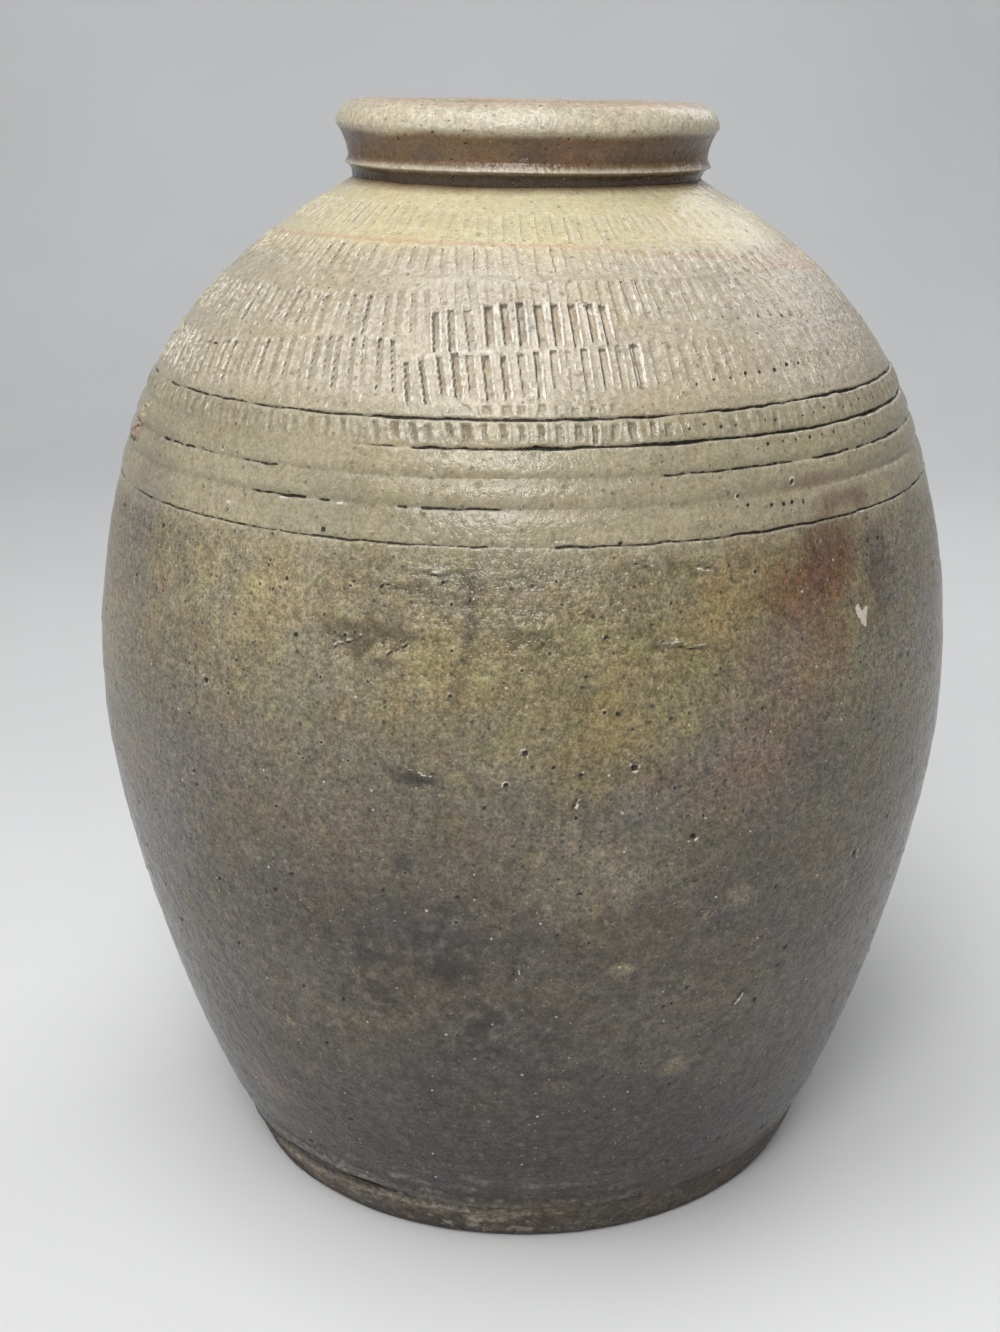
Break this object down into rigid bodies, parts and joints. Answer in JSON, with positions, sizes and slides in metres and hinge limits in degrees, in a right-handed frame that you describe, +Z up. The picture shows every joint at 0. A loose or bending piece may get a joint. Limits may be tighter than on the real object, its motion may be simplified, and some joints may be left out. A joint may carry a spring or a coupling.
{
  "type": "martaban jar",
  "caption": "Wide-bellied glazed stoneware storage jar with a rolled rim, beaded neck and incised, stroke-pressed shoulder. It stands on a flat foot and stores food or liquid.",
  "frame": {"origin": "centre of the foot, on the ground", "axes": "+Z up along the jar's axis; the pictured front faces -Y, with +X to its right"},
  "size_m": [0.362, 0.362, 0.45],
  "materials": {
    "olive_glaze": "thin satin ash glaze, olive to grey-brown, with rust patches, pinholes and pooled dark lines",
    "bare_clay": "bare fired brown stoneware with scrape marks"
  },
  "bodies": {
    "root": {"lower_wall": "olive_glaze", "belly_lower": "olive_glaze", "belly_upper": "olive_glaze", "shoulder_lower": "olive_glaze", "shoulder_upper": "olive_glaze", "shoulder_cap": "olive_glaze", "neck_collar": "olive_glaze", "rim_roll": "olive_glaze", "base_slab": "bare_clay", "foot_band": "bare_clay", "base_corner_coil": "bare_clay", "kiln_scars": "bare_clay"}
  },
  "joints": []
}
